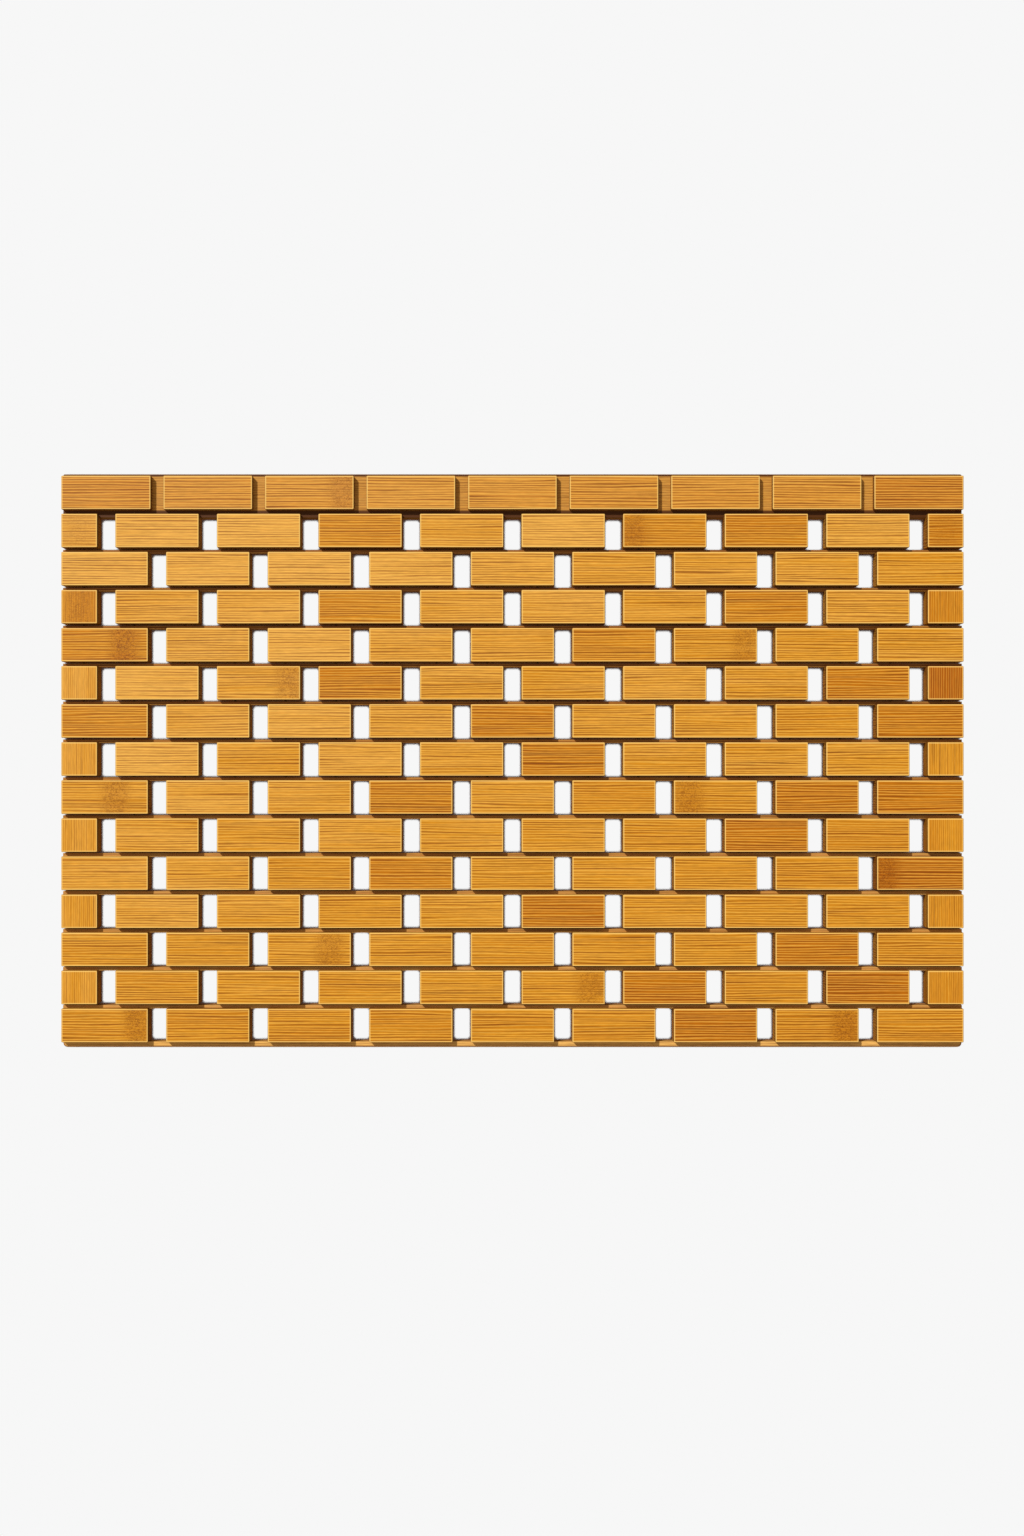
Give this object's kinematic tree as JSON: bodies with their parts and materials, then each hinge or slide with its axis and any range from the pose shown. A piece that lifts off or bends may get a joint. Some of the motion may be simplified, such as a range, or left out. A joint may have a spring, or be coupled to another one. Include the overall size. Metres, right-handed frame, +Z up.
{
  "type": "roll-up bamboo bath mat",
  "caption": "Slatted bamboo bath mat of brick-patterned blocks on laths and hidden cords; stands flat on the floor and rolls up row by row.",
  "frame": {"origin": "centre of the mat's box on the floor plane that the underside rests on", "axes": "+X along the rows of blocks, +Y towards the header board, +Z up from the floor"},
  "size_m": [0.8, 0.51, 0.012],
  "materials": {
    "bamboo_block": "honey bamboo, satin oil, fine grain along the rows",
    "bamboo_end_block": "honey bamboo, satin oil, grain across the rows",
    "bamboo_lath": "bamboo strip, matt, grain along the rows",
    "bamboo_board": "pale bamboo, matt, fine grain along the board",
    "cord": "dark braided nylon cord"
  },
  "bodies": {
    "header_end": {"row_01_blocks": "bamboo_block", "header_board": "bamboo_board", "row_02_blocks": "bamboo_block", "row_02_end_blocks": "bamboo_end_block", "row_02_cords": "cord"},
    "row_03": {"row_03_blocks": "bamboo_block", "row_03_lath": "bamboo_lath", "row_03_cords": "cord"},
    "row_04": {"row_04_blocks": "bamboo_block", "row_04_end_blocks": "bamboo_end_block", "row_04_lath": "bamboo_lath", "row_04_cords": "cord"},
    "row_05": {"row_05_blocks": "bamboo_block", "row_05_lath": "bamboo_lath", "row_05_cords": "cord"},
    "row_06": {"row_06_blocks": "bamboo_block", "row_06_end_blocks": "bamboo_end_block", "row_06_lath": "bamboo_lath", "row_06_cords": "cord"},
    "row_07": {"row_07_blocks": "bamboo_block", "row_07_lath": "bamboo_lath", "row_07_cords": "cord"},
    "row_08": {"row_08_blocks": "bamboo_block", "row_08_end_blocks": "bamboo_end_block", "row_08_lath": "bamboo_lath", "row_08_cords": "cord"},
    "row_09": {"row_09_blocks": "bamboo_block", "row_09_lath": "bamboo_lath", "row_09_cords": "cord"},
    "row_10": {"row_10_blocks": "bamboo_block", "row_10_end_blocks": "bamboo_end_block", "row_10_lath": "bamboo_lath", "row_10_cords": "cord"},
    "row_11": {"row_11_blocks": "bamboo_block", "row_11_lath": "bamboo_lath", "row_11_cords": "cord"},
    "row_12": {"row_12_blocks": "bamboo_block", "row_12_end_blocks": "bamboo_end_block", "row_12_lath": "bamboo_lath", "row_12_cords": "cord"},
    "row_13": {"row_13_blocks": "bamboo_block", "row_13_lath": "bamboo_lath", "row_13_cords": "cord"},
    "row_14": {"row_14_blocks": "bamboo_block", "row_14_end_blocks": "bamboo_end_block", "row_14_lath": "bamboo_lath", "row_14_cords": "cord"},
    "row_15": {"row_15_blocks": "bamboo_block", "row_15_lath": "bamboo_lath", "row_15_cords": "cord", "end_rail": "bamboo_board"}
  },
  "joints": [
    {"name": "bend_02_03", "type": "hinge", "parent": "row_03", "child": "header_end", "pos_m": [0, 0.1883, 0.0035], "axis": [1, 0, 0], "range_deg": [-18, 18]},
    {"name": "bend_03_04", "type": "hinge", "parent": "row_04", "child": "row_03", "pos_m": [0, 0.15455, 0.0035], "axis": [1, 0, 0], "range_deg": [-18, 18]},
    {"name": "bend_04_05", "type": "hinge", "parent": "row_05", "child": "row_04", "pos_m": [0, 0.1208, 0.0035], "axis": [1, 0, 0], "range_deg": [-18, 18]},
    {"name": "bend_05_06", "type": "hinge", "parent": "row_06", "child": "row_05", "pos_m": [0, 0.08705, 0.0035], "axis": [1, 0, 0], "range_deg": [-18, 18]},
    {"name": "bend_06_07", "type": "hinge", "parent": "row_07", "child": "row_06", "pos_m": [0, 0.0533, 0.0035], "axis": [1, 0, 0], "range_deg": [-18, 18]},
    {"name": "bend_07_08", "type": "hinge", "parent": "row_08", "child": "row_07", "pos_m": [0, 0.01955, 0.0035], "axis": [1, 0, 0], "range_deg": [-18, 18]},
    {"name": "bend_08_09", "type": "hinge", "parent": "row_08", "child": "row_09", "pos_m": [0, -0.0142, 0.0035], "axis": [-1, 0, 0], "range_deg": [-18, 18]},
    {"name": "bend_09_10", "type": "hinge", "parent": "row_09", "child": "row_10", "pos_m": [0, -0.04795, 0.0035], "axis": [-1, 0, 0], "range_deg": [-18, 18]},
    {"name": "bend_10_11", "type": "hinge", "parent": "row_10", "child": "row_11", "pos_m": [0, -0.0817, 0.0035], "axis": [-1, 0, 0], "range_deg": [-18, 18]},
    {"name": "bend_11_12", "type": "hinge", "parent": "row_11", "child": "row_12", "pos_m": [0, -0.11545, 0.0035], "axis": [-1, 0, 0], "range_deg": [-18, 18]},
    {"name": "bend_12_13", "type": "hinge", "parent": "row_12", "child": "row_13", "pos_m": [0, -0.1492, 0.0035], "axis": [-1, 0, 0], "range_deg": [-18, 18]},
    {"name": "bend_13_14", "type": "hinge", "parent": "row_13", "child": "row_14", "pos_m": [0, -0.18295, 0.0035], "axis": [-1, 0, 0], "range_deg": [-18, 18]},
    {"name": "bend_14_15", "type": "hinge", "parent": "row_14", "child": "row_15", "pos_m": [0, -0.2167, 0.0035], "axis": [-1, 0, 0], "range_deg": [-18, 18]}
  ]
}
